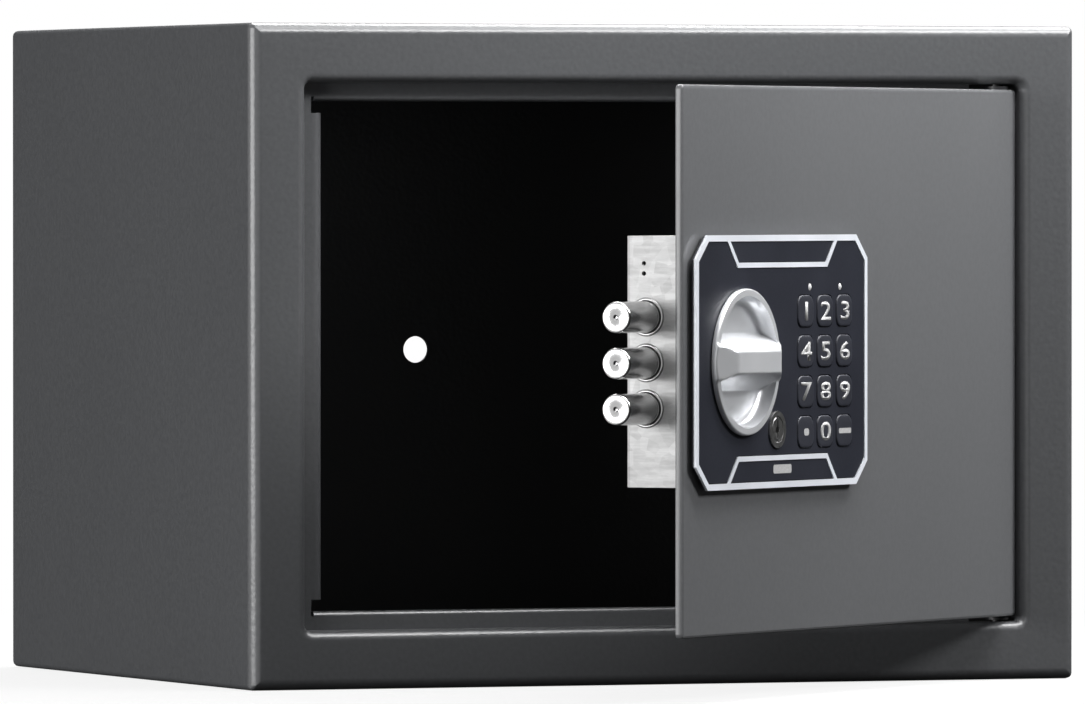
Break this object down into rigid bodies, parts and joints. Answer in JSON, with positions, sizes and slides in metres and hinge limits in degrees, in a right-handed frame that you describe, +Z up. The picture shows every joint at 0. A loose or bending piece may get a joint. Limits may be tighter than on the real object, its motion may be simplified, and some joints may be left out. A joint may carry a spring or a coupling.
{
  "type": "electronic keypad safe",
  "caption": "Small steel box safe with a right-hinged door, electronic keypad, turn knob and live bolts that slide inside a sheet steel lock case.",
  "frame": {"origin": "centre of the cabinet's base", "axes": "+Z up, the doorway faces -Y, the back wall faces +Y, the door's hinge is on the +X side"},
  "size_m": [0.31, 0.4196, 0.23],
  "materials": {
    "cabinet_paint": "hammered",
    "door_paint": "hammered",
    "panel_plastic": "satin",
    "key_plastic": "satin",
    "silver_line": "satin",
    "satin_chrome": "satin",
    "bolt_chrome": "polished",
    "galvanised_sheet": "galvanised",
    "plain_steel": "machined",
    "black_plastic": "satin",
    "black_steel": "blackened",
    "copper_winding": "enamelled wire",
    "circuit_board": "satin",
    "cell_sleeve": "gloss",
    "red_plastic": "gloss",
    "lamp_lens": "clear"
  },
  "bodies": {
    "cabinet": {"cabinet_wrap": "cabinet_paint", "front_frame": "cabinet_paint", "back_panel": "cabinet_paint", "hinge_pin_upper": "black_steel", "hinge_pin_lower": "black_steel"},
    "door": {"door_plate": "door_paint", "hinge_knuckle_upper": "door_paint", "hinge_knuckle_lower": "door_paint", "hinge_washer_upper": "black_plastic", "hinge_washer_lower": "black_plastic", "escutcheon": "panel_plastic", "escutcheon_trim": "silver_line", "keypad_board": "black_plastic", "led_left": "lamp_lens", "led_right": "lamp_lens", "lock_case": "galvanised_sheet", "case_screw_1": "plain_steel", "case_screw_2": "plain_steel", "case_screw_3": "plain_steel", "case_screw_4": "plain_steel", "bolt_guide": "galvanised_sheet", "solenoid_frame": "galvanised_sheet", "solenoid_coil": "copper_winding", "override_housing": "plain_steel", "control_board": "circuit_board", "battery_holder": "black_plastic", "battery_cell_1": "cell_sleeve", "battery_cell_2": "cell_sleeve", "battery_cell_3": "cell_sleeve", "battery_cell_4": "cell_sleeve"},
    "knob": {"knob": "satin_chrome", "spindle": "plain_steel", "crank": "plain_steel"},
    "bolt_work": {"bolt_carrier": "galvanised_sheet", "bolt_upper": "bolt_chrome", "bolt_middle": "bolt_chrome", "bolt_lower": "bolt_chrome"},
    "plunger": {"solenoid_plunger": "plain_steel"},
    "override_key": {"override_plug": "plain_steel", "override_cam": "plain_steel"},
    "battery_cover": {"battery_cover": "black_plastic"},
    "reset_button": {"reset_button": "red_plastic"},
    "key_1": {"key_1": "key_plastic"},
    "key_2": {"key_2": "key_plastic"},
    "key_3": {"key_3": "key_plastic"},
    "key_4": {"key_4": "key_plastic"},
    "key_5": {"key_5": "key_plastic"},
    "key_6": {"key_6": "key_plastic"},
    "key_7": {"key_7": "key_plastic"},
    "key_8": {"key_8": "key_plastic"},
    "key_9": {"key_9": "key_plastic"},
    "key_dot": {"key_dot": "key_plastic"},
    "key_0": {"key_0": "key_plastic"},
    "key_dash": {"key_dash": "key_plastic"}
  },
  "joints": [
    {"name": "door_swing", "type": "hinge", "parent": "cabinet", "child": "door", "pos_m": [0.1274, -0.119, 0.115], "axis": [0, 0, 1], "range_deg": [-41.3, 58.7]},
    {"name": "knob_turn", "type": "hinge", "parent": "door", "child": "knob", "pos_m": [-0.03387, -0.268, 0.1144], "axis": [-0.66, 0.7513, 0], "range_deg": [0, 90]},
    {"name": "bolt_slide", "type": "slide", "parent": "door", "child": "bolt_work", "axis": [0.7513, 0.66, 0], "range_m": [0, 0.02149]},
    {"name": "plunger_slide", "type": "slide", "parent": "door", "child": "plunger", "axis": [0, 0, -1], "range_m": [-0.005, 0]},
    {"name": "override_turn", "type": "hinge", "parent": "door", "child": "override_key", "pos_m": [-0.01472, -0.25117, 0.0912], "axis": [0.66, -0.7513, 0], "range_deg": [0, 90]},
    {"name": "battery_cover_slide", "type": "slide", "parent": "door", "child": "battery_cover", "axis": [0.7513, 0.66, 0], "range_m": [0, 0.012]},
    {"name": "reset_press", "type": "slide", "parent": "door", "child": "reset_button", "axis": [0.66, -0.7513, 0], "range_m": [0, 0.0015], "stiffness_N_per_m": 400},
    {"name": "key_1_press", "type": "slide", "parent": "door", "child": "key_1", "axis": [-0.66, 0.7513, 0], "range_m": [0, 0.0005], "stiffness_N_per_m": 1500},
    {"name": "key_2_press", "type": "slide", "parent": "door", "child": "key_2", "axis": [-0.66, 0.7513, 0], "range_m": [0, 0.0005], "stiffness_N_per_m": 1500},
    {"name": "key_3_press", "type": "slide", "parent": "door", "child": "key_3", "axis": [-0.66, 0.7513, 0], "range_m": [0, 0.0005], "stiffness_N_per_m": 1500},
    {"name": "key_4_press", "type": "slide", "parent": "door", "child": "key_4", "axis": [-0.66, 0.7513, 0], "range_m": [0, 0.0005], "stiffness_N_per_m": 1500},
    {"name": "key_5_press", "type": "slide", "parent": "door", "child": "key_5", "axis": [-0.66, 0.7513, 0], "range_m": [0, 0.0005], "stiffness_N_per_m": 1500},
    {"name": "key_6_press", "type": "slide", "parent": "door", "child": "key_6", "axis": [-0.66, 0.7513, 0], "range_m": [0, 0.0005], "stiffness_N_per_m": 1500},
    {"name": "key_7_press", "type": "slide", "parent": "door", "child": "key_7", "axis": [-0.66, 0.7513, 0], "range_m": [0, 0.0005], "stiffness_N_per_m": 1500},
    {"name": "key_8_press", "type": "slide", "parent": "door", "child": "key_8", "axis": [-0.66, 0.7513, 0], "range_m": [0, 0.0005], "stiffness_N_per_m": 1500},
    {"name": "key_9_press", "type": "slide", "parent": "door", "child": "key_9", "axis": [-0.66, 0.7513, 0], "range_m": [0, 0.0005], "stiffness_N_per_m": 1500},
    {"name": "key_dot_press", "type": "slide", "parent": "door", "child": "key_dot", "axis": [-0.66, 0.7513, 0], "range_m": [0, 0.0005], "stiffness_N_per_m": 1500},
    {"name": "key_0_press", "type": "slide", "parent": "door", "child": "key_0", "axis": [-0.66, 0.7513, 0], "range_m": [0, 0.0005], "stiffness_N_per_m": 1500},
    {"name": "key_dash_press", "type": "slide", "parent": "door", "child": "key_dash", "axis": [-0.66, 0.7513, 0], "range_m": [0, 0.0005], "stiffness_N_per_m": 1500}
  ],
  "couplings": [
    {"joint": "bolt_slide", "follows": "knob_turn", "m_per_rad": 0.013681}
  ]
}
